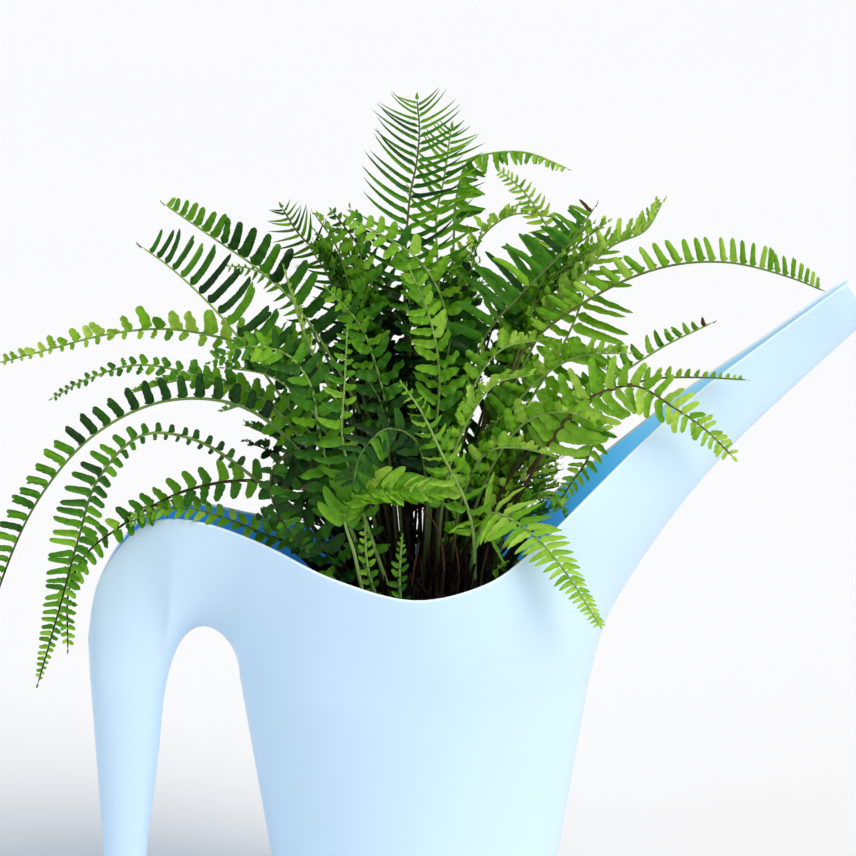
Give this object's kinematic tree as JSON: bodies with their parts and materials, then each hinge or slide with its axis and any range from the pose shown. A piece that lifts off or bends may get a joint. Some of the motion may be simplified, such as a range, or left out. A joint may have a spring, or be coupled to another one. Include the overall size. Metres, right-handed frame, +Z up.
{
  "type": "fern in watering can",
  "caption": "Sword fern with arching leafy fronds, growing in soil in a one-piece pale blue plastic watering can with a long open spout and a hanging handle leg.",
  "frame": {"origin": "middle of the can's base, where it meets the surface it stands on", "axes": "+X from the handle towards the spout, +Z up, -Y towards the side that the picture shows"},
  "size_m": [0.366, 0.1461, 0.3473],
  "materials": {
    "plastic": "satin, thin moulded plastic, deeper blue inside",
    "soil": "matt, crumbly dark potting mix",
    "leaf": "satin green leaflets with a paler rib",
    "dry_stalk": "matt, dry and wiry"
  },
  "bodies": {
    "root": {"watering_can": "plastic", "potting_soil": "soil", "frond_01": "leaf", "frond_02": "leaf", "frond_03": "leaf", "frond_04": "leaf", "frond_05": "leaf", "frond_06": "leaf", "frond_07": "leaf", "frond_08": "leaf", "frond_09": "leaf", "frond_10": "leaf", "frond_11": "leaf", "frond_12": "leaf", "frond_13": "leaf", "frond_14": "leaf", "frond_15": "leaf", "frond_16": "leaf", "frond_17": "leaf", "frond_18": "leaf", "frond_19": "leaf", "frond_20": "leaf", "frond_21": "leaf", "frond_22": "leaf", "frond_23": "leaf", "frond_24": "leaf", "frond_25": "leaf", "frond_26": "leaf", "frond_27": "leaf", "frond_28": "leaf", "frond_29": "leaf", "frond_30": "leaf", "frond_31": "leaf", "frond_32": "leaf", "frond_33": "leaf", "frond_34": "leaf", "frond_35": "leaf", "frond_36": "leaf", "frond_37": "leaf", "frond_38": "leaf", "frond_39": "leaf", "frond_40": "leaf", "frond_41": "leaf", "frond_42": "leaf", "frond_43": "leaf", "frond_44": "leaf", "frond_45": "leaf", "frond_46": "leaf", "frond_47": "leaf", "frond_48": "leaf", "frond_49": "leaf", "frond_50": "leaf", "frond_51": "leaf", "frond_52": "leaf", "frond_53": "leaf", "frond_54": "leaf", "dry_stalk_01": "dry_stalk", "dry_stalk_02": "dry_stalk", "dry_stalk_03": "dry_stalk", "dry_stalk_04": "dry_stalk"}
  },
  "joints": []
}
